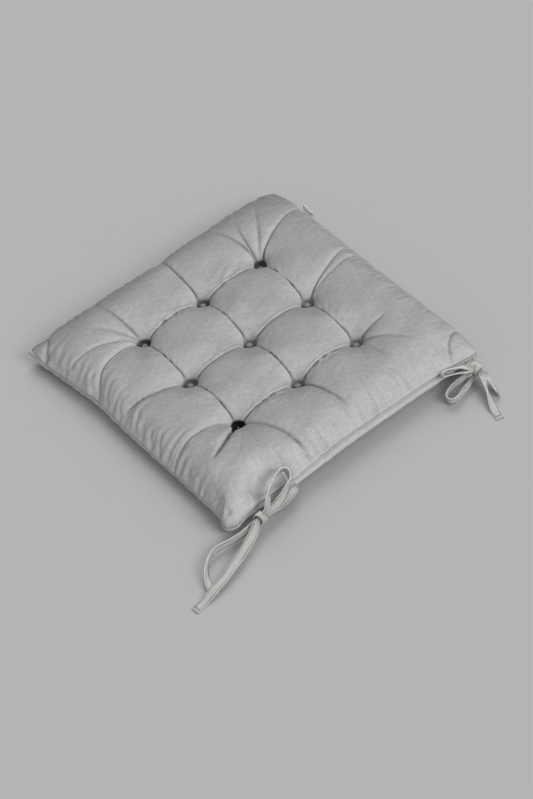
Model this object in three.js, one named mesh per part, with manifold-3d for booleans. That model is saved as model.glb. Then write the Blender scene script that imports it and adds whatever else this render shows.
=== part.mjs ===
// Tufted chair seat pad with two tied bows, in millimetres.
// +Z is up. The underside lies on z = 0 and the origin is the middle of the underside.
// The tie edge is the back edge at +Y, where the pad meets the chair's back posts.

import * as THREE from "three";
import * as BufferGeometryUtils from "three/addons/utils/BufferGeometryUtils.js";
import Module from "manifold-3d";

const wasm = await Module();
wasm.setup();

// ---- driving dimensions ----

const HALF = 200;             // half of the 400 mm square, measured at the corners
const EDGE_PULL = 5;          // how far the middle of each edge is pulled in by the stuffing
const PUFF_Z = 60;            // height that the filling would push the top to without its tufts
const SEAM_Z = 15;            // height of the seam that joins the two covers
const CLOTH = 1.2;            // thickness of a cover, velvet pile and backing
const SEAM_GAP = 2.4;         // space between the two rims, where the ties are caught
const SEAM_ALLOWANCE = 11;    // width of the rims that face each other inside the seam
const TOP_FALL = 0.6;         // how sharply the top rolls over to the seam, as a power
const BOTTOM_ROLL = 40;       // width of the bottom cover's rounded rim

const TUFT_PITCH = 93.5;      // spacing of the three by three tufts
const TUFT_TOP_Z = 30;        // cloth height under a top button
const TUFT_BOTTOM_Z = 10;     // cloth height over a bottom button
const POCKET_HALF = 6;        // half width of the flat square pocket under each button
const TOP_DIMPLE = 24;        // how far a top dimple spreads
const BOTTOM_DIMPLE = 30;     // how far a bottom dimple spreads
const VALLEY_DEPTH = 8;       // depth of the fold between neighbouring tufts
const VALLEY_WIDTH = 12;
const VALLEY_FADE = 30;       // how far a fold runs on past the outer tufts

const FILL_EDGE = 180;        // half width of the filling
const FILL_CLEARANCE = 2.2;   // height left between the filling and the covers

const BUTTON_RADIUS = 4.5;
const BUTTON_HEIGHT = 3.6;
const THREAD_RADIUS = 0.8;
const COVER_HOLE = 1.5;
const FILL_HOLE = 2.2;
const TOUCH_GAP = 0.3;        // air left between pieces that rest on each other

const STITCH_INSET = 10;
const STITCH_RADIUS = 0.5;
const STITCH_STEPS = 48;

const TIE_WIDTH = 11;
const TIE_THICKNESS = 1.5;
const KNOT_LENGTH = 11;
const KNOT_END_RADIUS = 6;
const KNOT_RADIUS = 7.5;

const LABEL_WIDTH = 22;
const LABEL_THICKNESS = 0.6;

// Grid lines of the covers, from the middle outwards. They are close together at the pockets.
const POCKET_LINES = [TUFT_PITCH - POCKET_HALF, TUFT_PITCH, TUFT_PITCH + POCKET_HALF];
const RIM_LINES = [HALF - BOTTOM_ROLL, FILL_EDGE, HALF - SEAM_ALLOWANCE, HALF];
const COVER_LINES = [0, POCKET_HALF, 30, 63, ...POCKET_LINES, 130, ...RIM_LINES];
const FILL_LINES = COVER_LINES.filter((line) => line <= FILL_EDGE);

// Tie routes. Each point is x, y, z, the lean of the tape in degrees and the share of its width
// that is spread out there. A lean of 0 lies flat and 90 stands on its edge.
const LEFT_KNOT = { at: [155, 210, 16], along: [0.985, 0.17, 0] };
const LEFT_ROUTES = {
  lead_a: [
    [98, 193, 15, 0, 1], [98, 199, 15, 0, 1], [101, 204.8, 16.8, 10, 1], [109, 208.4, 17.6, 25, 1],
    [119, 209.8, 16.6, 33, 1], [132, 209.4, 15.8, 33, 1], [148, 208.4, 15.2, 33, 0.8],
  ],
  lead_b: [
    [110, 193, 15, 0, 1], [110, 198.6, 15, 0, 1], [114, 203, 12.2, 20, 1], [122, 205.6, 12.3, 33, 1],
    [133, 206.6, 12.4, 33, 1], [148, 206.8, 12.4, 33, 0.8],
  ],
  loop: [
    [147.2, 211.8, 22, 140, 0.7], [141, 207, 28.5, 118, 0.8], [132, 199.5, 34.5, 80, 1],
    [121, 193, 38.5, 67, 1], [110, 189, 41, 67, 1], [102, 188.5, 42, 75, 1], [98, 191, 39.5, 90, 1],
    [98, 195.5, 35, 110, 1], [101.5, 200, 31, 105, 1], [110, 205, 27, 72, 1],
    [121, 209.4, 23, 46, 1], [134, 211.2, 19.8, 36, 1], [148, 210.2, 18.4, 33, 0.8],
  ],
  tail_a: [
    [162.6, 212.7, 17.5, 33, 0.7], [168, 216, 15.6, 28, 0.9], [176, 220.8, 13.4, 20, 1],
    [187, 225.5, 11.4, 12, 1], [200, 230.5, 9.8, 6, 1], [214, 235.5, 8.8, 2, 1], [228, 240, 7.8, 0, 1],
    [242, 243.8, 6.6, 0, 1], [255, 246.6, 5.2, 0, 1], [267, 248.8, 2.8, 0, 1],
    [277, 250.2, 0.9, 0, 1], [283, 250.9, 0.9, 0, 1], [289.5, 251.6, 0.9, 0, 1],
  ],
  tail_b: [
    [162.4, 210.2, 13.2, 33, 0.7], [171, 210.2, 11, 62, 0.9], [184, 209, 9.2, 80, 1],
    [202, 207, 8, 88, 1], [220, 204.5, 7.6, 88, 1], [234, 209, 7.4, 88, 1], [244, 217, 7, 80, 1],
    [251.5, 227.5, 5.6, 60, 1], [255.5, 237, 3.2, 25, 1], [257, 244, 1.4, 0, 1], [258.5, 250, 1, 0, 1],
  ],
};
const RIGHT_KNOT = { at: [-179, 217, 16], along: [0, 1, 0] };
const RIGHT_ROUTES = {
  lead_a: [
    [-173, 195, 15, 0, 1], [-173, 201.5, 15, 0, 1], [-176, 205.2, 17.2, 0, 1], [-177.6, 207.6, 18.1, 0, 0.9],
    [-178, 210.3, 18.4, 0, 0.8],
  ],
  lead_b: [
    [-185, 195, 15, 0, 0.8], [-184.6, 199, 15, 0, 0.8], [-183.4, 203, 14.4, 0, 0.75],
    [-181.8, 207, 13.5, 0, 0.65], [-180.6, 209.9, 13, 0, 0.6],
  ],
  loop_a: [
    [-170.6, 214.5, 21.8, -10, 0.5], [-163, 209, 25.5, -36, 0.8], [-153, 205, 28.5, -42, 1],
    [-144, 201.4, 29.4, -40, 1], [-138.3, 200.4, 29, -37, 1], [-136.4, 200.85, 28.3, -47, 1],
    [-135.6, 202, 26.8, -90, 1], [-136.4, 203.15, 25.3, -133, 1], [-138.3, 203.6, 24.6, -143, 1],
    [-145, 205.8, 23.3, -140, 1], [-155, 210, 21.5, -138, 0.9], [-163, 213, 19.4, -145, 0.7],
    [-170.6, 215.5, 18.6, -170, 0.5],
  ],
  loop_b: [
    [-170.6, 216.6, 15.2, 10, 0.5], [-162, 215.2, 14.4, 50, 0.6], [-150, 214.5, 11.4, 78, 1],
    [-138, 214.5, 9, 84, 1], [-128.5, 218, 7.6, 88, 1], [-125, 224.5, 7.2, 90, 1],
    [-129, 230, 7.4, 92, 1], [-139, 230.5, 8.4, 98, 1], [-152, 227, 9.4, 115, 0.8],
    [-163, 223, 10, 140, 0.55], [-170.6, 219.8, 10.8, 165, 0.5],
  ],
  tail_a: [
    [-178.4, 224.2, 18, 0, 0.6], [-176, 231, 15.8, 30, 0.8], [-172, 240, 12, 62, 1],
    [-167.5, 250, 8.6, 66, 1], [-163.5, 259, 5.6, 40, 1], [-160, 267, 2.8, 12, 1],
    [-157, 275.5, 0.9, 0, 1], [-155.5, 280, 0.9, 0, 1], [-154, 285, 0.9, 0, 1],
  ],
  tail_b: [
    [-181, 224.2, 13, 0, 0.6], [-183.4, 231, 9.6, 30, 0.8], [-182, 240, 8, 60, 1],
    [-179, 250, 6.6, 66, 1], [-176, 259, 6.2, 66, 1],
  ],
};
const LABEL_ROUTE = [
  [-195, -137, 15, 0, 1], [-197.8, -137, 15.2, 0, 1], [-199, -137, 17, 0, 1],
  [-199.4, -137, 21, 0, 1], [-199.6, -137, 26, 0, 1],
];

// ---- materials ----

function cloth(color, roughness) {
  return new THREE.MeshStandardMaterial({ color, roughness, metalness: 0 });
}

const VELVET = 0xa9a9a8;
const FIBRE = 0xf2f1ec;
const THREAD = 0x8f8f8e;
const TIE_VELVET = 0xb4b2ae;
const LABEL_WHITE = 0xf4f4f2;

// ---- shape of the stuffed pad ----

function fullness(distance) {
  return Math.pow(Math.max(0, 1 - Math.pow(Math.abs(distance) / HALF, 4)), TOP_FALL);
}

function tuftCentres() {
  const rows = [-TUFT_PITCH, 0, TUFT_PITCH];
  return rows.flatMap((y) => rows.map((x) => [x, y]));
}

// Distance from the nearest pocket, measured from the circle round the square pocket.
function distanceToPocket(x, y) {
  const nearest = Math.min(...tuftCentres().map(([tx, ty]) => Math.hypot(x - tx, y - ty)));
  return Math.max(0, nearest - POCKET_HALF * Math.SQRT2);
}

function foldDepth(across, along) {
  const beyond = Math.max(0, Math.abs(along) - TUFT_PITCH);
  const side = Math.min(...[-TUFT_PITCH, 0, TUFT_PITCH].map((line) => Math.abs(across - line)));
  return VALLEY_DEPTH * Math.exp(-((side / VALLEY_WIDTH) ** 2)) * Math.exp(-beyond / VALLEY_FADE);
}

function topOuter(x, y) {
  const rim = SEAM_Z + SEAM_GAP / 2 + CLOTH;
  const puffed = rim + (PUFF_Z - rim) * fullness(x) * fullness(y);
  const dimple = Math.max(0, puffed - TUFT_TOP_Z) / (1 + (distanceToPocket(x, y) / TOP_DIMPLE) ** 2);
  const fold = Math.max(foldDepth(x, y), foldDepth(y, x));
  return Math.max(rim, puffed - Math.max(dimple, fold * fullness(x) * fullness(y)));
}

function bottomOuter(x, y) {
  const rim = SEAM_Z - SEAM_GAP / 2 - CLOTH;
  const inset = HALF - Math.max(Math.abs(x), Math.abs(y));
  const roll = Math.max(0, 1 - inset / BOTTOM_ROLL) ** 2;
  const dimple = Math.max(0, 1 - distanceToPocket(x, y) / BOTTOM_DIMPLE) ** 2;
  return rim * roll + TUFT_BOTTOM_Z * dimple * (1 - roll);
}

function insideSeam(x, y) {
  return Math.max(Math.abs(x), Math.abs(y)) >= HALF - SEAM_ALLOWANCE;
}

function topInner(x, y) {
  return insideSeam(x, y) ? SEAM_Z + SEAM_GAP / 2 : topOuter(x, y) - CLOTH;
}

function bottomInner(x, y) {
  return insideSeam(x, y) ? SEAM_Z - SEAM_GAP / 2 : bottomOuter(x, y) + CLOTH;
}

// Pulls the edges in between the corners, and leaves the tufts where they are.
function pulled(x, y) {
  const pull = (a, b) => a - Math.sign(a) * EDGE_PULL * (Math.abs(a) / HALF) ** 6 * (1 - (b / HALF) ** 2);
  return [pull(x, y), pull(y, x)];
}

// A closed slab on a square grid, between an upper and a lower surface.
// Both surfaces are cut into triangles along the same diagonals, so the slab keeps its thickness.
function slab(lines, upper, lower) {
  const grid = [...lines.slice(1).reverse().map((line) => -line), ...lines];
  const side = grid.length;
  const points = [];
  for (const surface of [upper, lower]) {
    grid.forEach((y) => grid.forEach((x) => points.push(...pulled(x, y), surface(x, y))));
  }
  const at = (layer, row, column) => layer * side * side + row * side + column;
  const faces = [];
  const quad = (a, b, c, d) => faces.push(a, b, c, a, c, d);
  for (let row = 0; row < side - 1; row += 1) {
    for (let column = 0; column < side - 1; column += 1) {
      const corners = [[row, column], [row, column + 1], [row + 1, column + 1], [row + 1, column]];
      const turned = (row < side / 2 - 1) === (column < side / 2 - 1) ? 0 : 1;
      const [a, b, c, d] = corners.map((_, i) => corners[(i + turned) % 4]);
      quad(...[a, b, c, d].map((corner) => at(0, ...corner)));
      quad(...[a, d, c, b].map((corner) => at(1, ...corner)));
    }
  }
  const last = side - 1;
  for (let i = 0; i < last; i += 1) {
    quad(at(1, 0, i), at(1, 0, i + 1), at(0, 0, i + 1), at(0, 0, i));
    quad(at(1, i, last), at(1, i + 1, last), at(0, i + 1, last), at(0, i, last));
    quad(at(1, last, i + 1), at(1, last, i), at(0, last, i), at(0, last, i + 1));
    quad(at(1, i + 1, 0), at(1, i, 0), at(0, i, 0), at(0, i + 1, 0));
  }
  const geometry = new THREE.BufferGeometry();
  geometry.setAttribute("position", new THREE.Float32BufferAttribute(points, 3));
  geometry.setIndex(faces);
  return geometry;
}

// ---- booleans ----

function toSolid(geometry) {
  const bare = geometry.clone();
  bare.deleteAttribute("normal");
  bare.deleteAttribute("uv");
  const merged = BufferGeometryUtils.mergeVertices(bare, 1e-4);
  return new wasm.Manifold(new wasm.Mesh({
    numProp: 3,
    vertProperties: new Float32Array(merged.attributes.position.array),
    triVerts: new Uint32Array(merged.index.array),
  }));
}

function toGeometry(solid) {
  const mesh = solid.getMesh();
  const geometry = new THREE.BufferGeometry();
  geometry.setAttribute("position", new THREE.BufferAttribute(mesh.vertProperties, 3));
  geometry.setIndex(new THREE.BufferAttribute(mesh.triVerts, 1));
  geometry.computeVertexNormals();
  return geometry;
}

// Cuts the nine holes that the tufting threads pass through.
function pierced(geometry, radius) {
  let solid = toSolid(geometry);
  for (const [x, y] of tuftCentres()) {
    const drill = new THREE.CylinderGeometry(radius, radius, 2 * PUFF_Z, 8);
    drill.rotateX(Math.PI / 2);
    drill.translate(x, y, PUFF_Z / 2);
    solid = solid.subtract(toSolid(drill));
  }
  return toGeometry(solid);
}

// ---- small pieces ----

function buttonGeometry(pointsUp) {
  const profile = [
    [0, 0], [0.8, 0], [1, 0.25], [0.97, 0.55], [0.65, 0.88], [0, 1],
  ].map(([r, h]) => new THREE.Vector2(r * BUTTON_RADIUS, h * BUTTON_HEIGHT));
  const geometry = new THREE.LatheGeometry(profile, 12);
  geometry.rotateX(pointsUp ? Math.PI / 2 : -Math.PI / 2);
  return geometry;
}

function threadGeometry() {
  const length = TUFT_TOP_Z - TUFT_BOTTOM_Z;
  const geometry = new THREE.CylinderGeometry(THREAD_RADIUS, THREAD_RADIUS, length, 8);
  geometry.rotateX(Math.PI / 2);
  return geometry;
}

// The seam's sewing thread, a closed ring that follows the pulled-in edge.
function stitchingGeometry() {
  const geometry = new THREE.TorusGeometry(HALF, STITCH_RADIUS, 6, STITCH_STEPS);
  const position = geometry.attributes.position;
  for (let i = 0; i < position.count; i += 1) {
    const x = position.getX(i);
    const y = position.getY(i);
    const offset = Math.hypot(x, y) - HALF;
    const reach = (HALF - STITCH_INSET + offset) / Math.max(Math.abs(x), Math.abs(y));
    const [px, py] = pulled(x * reach, y * reach);
    position.setXYZ(i, px, py, position.getZ(i) + SEAM_Z);
  }
  return geometry;
}

// A flat tape swept along a route of [x, y, z, lean, share] points.
function tapeGeometry(route, width, thickness) {
  const path = new THREE.CatmullRomCurve3(route.map(([x, y, z]) => new THREE.Vector3(x, y, z)));
  const steps = 2 * (route.length - 1);
  const geometry = new THREE.BoxGeometry(steps, width, thickness, steps, 1, 1);
  const position = geometry.attributes.position;
  const up = new THREE.Vector3(0, 0, 1);
  for (let i = 0; i < position.count; i += 1) {
    const t = (position.getX(i) + steps / 2) / steps;
    const index = Math.min(t * (route.length - 1), route.length - 1.001);
    const low = Math.floor(index);
    const between = (k) => THREE.MathUtils.lerp(route[low][k], route[low + 1][k], index - low);
    const lean = THREE.MathUtils.degToRad(between(3));
    const reach = position.getY(i) * between(4);
    const tangent = path.getTangent(t);
    const flat = tangent.clone().cross(up).normalize();
    const upright = flat.clone().cross(tangent);
    const across = flat.multiplyScalar(Math.cos(lean)).addScaledVector(upright, Math.sin(lean));
    const normal = tangent.clone().cross(across);
    const point = path.getPoint(t);
    point.addScaledVector(across, reach).addScaledVector(normal, position.getZ(i));
    position.setXYZ(i, point.x, point.y, point.z);
  }
  return geometry;
}

// The knot's wraps, as one barrel along the direction of the tapes that pass through it.
function knotGeometry() {
  const end = KNOT_LENGTH / 2;
  const profile = [
    [0, -end], [KNOT_END_RADIUS, -end], [KNOT_RADIUS, -end * 0.55], [KNOT_RADIUS, end * 0.55],
    [KNOT_END_RADIUS, end], [0, end],
  ].map(([r, h]) => new THREE.Vector2(r, h));
  return new THREE.LatheGeometry(profile, 12);
}

// ---- assembly ----

const pad = new THREE.Group();

function add(name, geometry, material, place) {
  const mesh = new THREE.Mesh(geometry, material);
  mesh.name = name;
  if (place) {
    mesh.position.set(...place);
  }
  pad.add(mesh);
  return mesh;
}

function addCovers() {
  const top = slab(COVER_LINES, topOuter, topInner);
  const bottom = slab(COVER_LINES, bottomInner, bottomOuter);
  add("top_cover", pierced(top, COVER_HOLE), cloth(VELVET, 0.85));
  add("bottom_cover", pierced(bottom, COVER_HOLE), cloth(VELVET, 0.85));
  add("seam_stitching", stitchingGeometry(), cloth(THREAD, 0.7));
}

function addFilling() {
  const upper = (x, y) => topOuter(x, y) - CLOTH - FILL_CLEARANCE;
  const lower = (x, y) => bottomOuter(x, y) + CLOTH + FILL_CLEARANCE;
  add("fibre_filling", pierced(slab(FILL_LINES, upper, lower), FILL_HOLE), cloth(FIBRE, 1));
}

function addTufts() {
  tuftCentres().forEach(([x, y], i) => {
    const middle = (TUFT_TOP_Z + TUFT_BOTTOM_Z) / 2;
    const number = i + 1;
    add(`tuft_button_top_${number}`, buttonGeometry(true), cloth(VELVET, 0.6), [x, y, TUFT_TOP_Z + TOUCH_GAP]);
    add(`tuft_button_bottom_${number}`, buttonGeometry(false), cloth(VELVET, 0.6), [x, y, TUFT_BOTTOM_Z - TOUCH_GAP]);
    add(`tuft_thread_${number}`, threadGeometry(), cloth(THREAD, 0.7), [x, y, middle]);
  });
}

function addBow(side, knot, routes) {
  const barrel = add(`${side}_knot`, knotGeometry(), cloth(TIE_VELVET, 0.85), knot.at);
  barrel.quaternion.setFromUnitVectors(new THREE.Vector3(0, 1, 0), new THREE.Vector3(...knot.along).normalize());
  for (const [piece, route] of Object.entries(routes)) {
    add(`${side}_${piece}`, tapeGeometry(route, TIE_WIDTH, TIE_THICKNESS), cloth(TIE_VELVET, 0.85));
  }
}

addCovers();
addFilling();
addTufts();
addBow("left", LEFT_KNOT, LEFT_ROUTES);
addBow("right", RIGHT_KNOT, RIGHT_ROUTES);
add("care_label", tapeGeometry(LABEL_ROUTE, LABEL_WIDTH, LABEL_THICKNESS), cloth(LABEL_WHITE, 0.5));

export default pad;
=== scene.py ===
"""Tufted velvet chair seat pad with two tied bows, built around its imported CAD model.

Lengths in the tables below are in millimetres, because that is how the pad is drawn. MM turns
them into Blender's metres. The pad lies on z = 0, and its tie edge is at +Y.
"""

import math

import bpy
import numpy as np
from mathutils import Matrix, Vector


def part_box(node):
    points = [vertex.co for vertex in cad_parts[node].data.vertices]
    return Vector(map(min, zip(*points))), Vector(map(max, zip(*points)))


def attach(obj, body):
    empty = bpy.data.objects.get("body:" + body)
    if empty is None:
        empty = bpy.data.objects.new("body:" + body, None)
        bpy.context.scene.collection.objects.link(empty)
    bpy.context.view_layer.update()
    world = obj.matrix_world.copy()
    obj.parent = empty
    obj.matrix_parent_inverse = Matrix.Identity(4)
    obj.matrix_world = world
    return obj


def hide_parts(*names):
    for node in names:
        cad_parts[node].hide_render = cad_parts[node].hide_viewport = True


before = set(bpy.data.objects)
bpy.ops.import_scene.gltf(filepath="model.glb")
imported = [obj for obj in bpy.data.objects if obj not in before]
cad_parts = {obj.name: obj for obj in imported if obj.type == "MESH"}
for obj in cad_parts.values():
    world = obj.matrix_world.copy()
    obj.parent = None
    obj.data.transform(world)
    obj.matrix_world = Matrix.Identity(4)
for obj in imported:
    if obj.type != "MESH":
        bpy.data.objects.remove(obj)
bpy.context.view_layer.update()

MM = 0.001

# ---- sizes taken from the frame, in millimetres ----


def box_mm(node):
    low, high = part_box(node)
    return np.array(low) / MM, np.array(high) / MM


def middle_mm(node):
    low, high = box_mm(node)
    return (low + high) / 2


HALF = box_mm("top_cover")[1][0]
SEAM_Z = middle_mm("seam_stitching")[2]
TUFTS = [middle_mm(f"tuft_button_top_{i}")[:2] for i in range(1, 10)]
PITCH = TUFTS[8][0]
TUFT_TOP_Z = box_mm("tuft_button_top_1")[0][2]
TUFT_BOTTOM_Z = box_mm("tuft_button_bottom_1")[1][2]

# ---- camera ----

CAMERA_AZIMUTH = 148.35
CAMERA_ELEVATION = 48.62
CAMERA_ROLL = -10.02
CAMERA_DISTANCE = 3.0
CAMERA_LENS = 111.2
CAMERA_LOOK = Vector((0.0366, 0.0759, 0.02))


def make_camera():
    azimuth, elevation, roll = (math.radians(a) for a in (CAMERA_AZIMUTH, CAMERA_ELEVATION, CAMERA_ROLL))
    level = math.cos(elevation)
    back = Vector((math.sin(azimuth) * level, -math.cos(azimuth) * level, math.sin(elevation)))
    right = (-back).cross(Vector((0, 0, 1))).normalized()
    up = right.cross(-back)
    turned_right = right * math.cos(roll) + up * math.sin(roll)
    turned_up = up * math.cos(roll) - right * math.sin(roll)
    place = CAMERA_LOOK + back * CAMERA_DISTANCE
    data = bpy.data.cameras.new("camera")
    data.lens = CAMERA_LENS
    data.sensor_width = 36
    camera = placed("camera", data)
    camera.matrix_world = Matrix((
        (turned_right.x, turned_up.x, back.x, place.x),
        (turned_right.y, turned_up.y, back.y, place.y),
        (turned_right.z, turned_up.z, back.z, place.z),
        (0, 0, 0, 1),
    ))
    bpy.context.scene.camera = camera


# ---- materials ----


def grey(value):
    return (value,) * 3


class Nodes:
    """A short way to write a material's node tree."""

    def __init__(self, name):
        self.material = bpy.data.materials.new(name)
        self.material.use_nodes = True
        self.tree = self.material.node_tree
        self.shader = self.tree.nodes["Principled BSDF"]
        self.place = self.add("ShaderNodeTexCoord").outputs["Object"]

    def add(self, kind, inputs=(), **settings):
        node = self.tree.nodes.new(kind)
        for key, value in settings.items():
            setattr(node, key, value)
        for key, value in dict(inputs).items():
            self.feed(node.inputs[key], value)
        return node

    def feed(self, socket, value):
        """Links an output to a socket, or sets the socket to a constant."""
        if isinstance(value, bpy.types.NodeSocket):
            self.tree.links.new(value, socket)
        else:
            socket.default_value = value

    def stretched(self, scale, turn=(0, 0, 0)):
        inputs = {"Vector": self.place, "Scale": scale, "Rotation": turn}
        return self.add("ShaderNodeMapping", inputs).outputs["Vector"]

    def noise(self, vector, scale, detail=3, roughness=0.5, distortion=0.0):
        inputs = {"Vector": vector, "Scale": scale, "Detail": detail, "Roughness": roughness,
                  "Distortion": distortion}
        return self.add("ShaderNodeTexNoise", inputs).outputs["Fac"]

    def ramp(self, factor, stops):
        node = self.add("ShaderNodeValToRGB", {"Fac": factor})
        elements = node.color_ramp.elements
        while len(elements) < len(stops):
            elements.new(0.5)
        for element, (position, color) in zip(elements, stops):
            element.position = position
            element.color = (*color, 1)
        return node.outputs["Color"]

    def multiply(self, a, b):
        """One color times another."""
        inputs = {0: 1.0, 6: a, 7: b}
        return self.add("ShaderNodeMix", inputs, data_type="RGBA", blend_type="MULTIPLY").outputs[2]

    def math(self, operation, a, b):
        return self.add("ShaderNodeMath", {0: a, 1: b}, operation=operation).outputs[0]

    def bump(self, height, strength, distance, under=None):
        inputs = {"Height": height, "Strength": strength, "Distance": distance}
        if under is not None:
            inputs["Normal"] = under
        return self.add("ShaderNodeBump", inputs).outputs["Normal"]

    def facing_painted_light(self, lit_facing, color, away, towards):
        """Painted shade and highlight: slopes facing against the given direction are painted darker, slopes
        facing along it lighter.
        """
        surface = self.add("ShaderNodeNewGeometry").outputs["Normal"]
        facing = self.add("ShaderNodeVectorMath", {0: surface, 1: lit_facing}, operation="DOT_PRODUCT")
        place = self.math("ADD", self.math("MULTIPLY", facing.outputs["Value"], 0.5), 0.5)
        stops = [(0.1, away), (0.34, 0.6 * away + 0.4), (0.44, 0.2 * away + 0.8), (0.52, 1.0),
                 (0.68, (1 + towards) / 2), (0.92, towards)]
        shade = self.ramp(place, [(stop, grey(value)) for stop, value in stops])
        return self.multiply(color, shade)

    def finish(self, **inputs):
        for key, value in inputs.items():
            self.feed(self.shader.inputs[key.replace("_", " ")], value)
        return self.material


def velvet(name, dark, light, sheen, lit_facing=None):
    """Short-pile velvet: patches of pile laid different ways, crushed blotches and fine pile. Given a facing
    direction it also gets painted shade and highlight by slope, and painted shade from the mesh's attribute
    in creases, tuft holes, the seam groove and along one rim.
    """
    n = Nodes(name)
    patches = n.noise(n.place, 17, 4, 0.6, 0.8)
    blotches = n.noise(n.stretched((70, 110, 90), (0, 0, 0.7)), 1, 4, 0.65, 1.0)
    crushed = n.noise(n.place, 260, 3, 0.65, 0.6)
    pile = n.noise(n.place, 520, 4, 0.75)
    tone = n.math("ADD", n.math("MULTIPLY", patches, 0.4), n.math("MULTIPLY", blotches, 0.35))
    tone = n.math("ADD", tone, n.math("MULTIPLY", crushed, 0.25))
    cloth = n.ramp(tone, [(0.34, dark), (0.66, light)])
    grain = n.ramp(pile, [(0.3, grey(0.84)), (0.7, grey(1.12))])
    color = n.multiply(cloth, grain)
    # Painted shade and highlight by which way each slope faces.
    if lit_facing:
        color = n.facing_painted_light(lit_facing, color, 0.42, 1.8)
        # Painted shade where the mesh's attribute is set: creases, tuft holes, the seam groove and along one
        # rim.
        painted_shade = n.add("ShaderNodeAttribute", attribute_name="painted_shade").outputs["Fac"]
        flat = n.ramp(painted_shade, [(0.0, grey(1)), (0.9, grey(0.1))])
        color = n.multiply(color, flat)
    normal = n.bump(blotches, 0.3, 0.0014)
    normal = n.bump(crushed, 0.4, 0.0009, normal)
    normal = n.bump(pile, 0.4, 0.0004, normal)
    return n.finish(Base_Color=color, Roughness=0.82, Normal=normal, Specular_IOR_Level=0.2,
                    Sheen_Weight=sheen, Sheen_Roughness=0.45, Sheen_Tint=(0.95, 0.95, 1, 1))


# Velvet for the covered buttons, painted darker than the cover velvet: painted shade for buttons sunk in
# their tuft holes.
def shaded_button_cloth():
    n = Nodes("button_painted_shade_velvet")
    pile = n.noise(n.place, 1800, 2, 0.6)
    color = n.ramp(pile, [(0.3, grey(0.22)), (0.7, grey(0.32))])
    return n.finish(Base_Color=color, Roughness=0.6, Normal=n.bump(pile, 0.3, 0.0003),
                    Sheen_Weight=0.3, Sheen_Roughness=0.4)


def sewing_thread(name, dark, light):
    n = Nodes(name)
    twist = n.noise(n.stretched((900, 900, 3000)), 1, 2, 0.5)
    color = n.ramp(twist, [(0.3, grey(dark)), (0.7, grey(light))])
    return n.finish(Base_Color=color, Roughness=0.55, Normal=n.bump(twist, 0.5, 0.0002))


def satin_label():
    n = Nodes("satin_label")
    weave = n.noise(n.stretched((300, 2500, 2500)), 1, 2, 0.5)
    color = n.ramp(weave, [(0.3, (0.8, 0.8, 0.79)), (0.7, (0.92, 0.92, 0.91))])
    return n.finish(Base_Color=color, Roughness=0.4, Normal=n.bump(weave, 0.25, 0.0001))


def floor_paint():
    n = Nodes("floor_paint")
    dust = n.noise(n.place, 60, 3, 0.5)
    color = n.ramp(dust, [(0.3, grey(0.505)), (0.7, grey(0.508))])
    return n.finish(Base_Color=color, Roughness=0.9, Specular_IOR_Level=0.0)


# ---- meshes from arrays ----


def unit(vectors):
    """The vectors at length 1."""
    return vectors / np.maximum(np.linalg.norm(vectors, axis=-1, keepdims=True), 1e-9)


def placed(name, data):
    """A new object for the given data, linked to the scene."""
    made = bpy.data.objects.new(name, data)
    bpy.context.scene.collection.objects.link(made)
    return made


def mesh_object(name, points_mm, faces, material, body):
    mesh = bpy.data.meshes.new(name)
    mesh.from_pydata((np.asarray(points_mm) * MM).tolist(), [], faces)
    mesh.update()
    mesh.polygons.foreach_set("use_smooth", [True] * len(mesh.polygons))
    mesh.materials.append(material)
    piece = placed(name, mesh)
    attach(piece, body)
    return piece


def tube_faces(rings, sides, closed=False):
    """Faces of a tube made of rings; a closed tube also joins its last ring to its first."""
    faces = []
    for i in range(rings if closed else rings - 1):
        j = (i + 1) % rings
        for k in range(sides):
            n = (k + 1) % sides
            faces.append((i * sides + k, i * sides + n, j * sides + n, j * sides + k))
    return faces


def grid_faces(index, flipped):
    """Faces of a sheet whose points' numbers are given row by row."""
    a, b, c, d = index[:-1, :-1], index[:-1, 1:], index[1:, 1:], index[1:, :-1]
    order = (a, d, c, b) if flipped else (a, b, c, d)
    return np.stack([corner.ravel() for corner in order], axis=1).tolist()


def along_curve(points, count):
    """Evenly spaced points on a smooth curve through the given rows, whatever they hold."""
    points = np.asarray(points, float)
    padded = np.vstack([2 * points[0] - points[1], points, 2 * points[-1] - points[-2]])
    dense = []
    for i in range(len(points) - 1):
        p0, p1, p2, p3 = padded[i:i + 4]
        for t in np.linspace(0, 1, 24, endpoint=False):
            dense.append(0.5 * (2 * p1 + (p2 - p0) * t + (2 * p0 - 5 * p1 + 4 * p2 - p3) * t ** 2
                                + (3 * p1 - p0 - 3 * p2 + p3) * t ** 3))
    dense = np.array(dense + [points[-1]])
    step = np.linalg.norm(np.diff(dense[:, :3], axis=0), axis=1)
    length = np.concatenate([[0], np.cumsum(step)])
    wanted = np.linspace(0, length[-1], count)
    return np.stack([np.interp(wanted, length, column) for column in dense.T], axis=1)


# ---- ties ----

TIE_WIDTH = 11
TIE_THICKNESS = 1.6
RING_SPACING = 1.6
STITCH_PLACE = 0.74
STITCH_LENGTH = 2.5
STITCH_PITCH = 3.1
STITCH_RADIUS = 0.48
HEM_PLACE = 0.84

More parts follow.
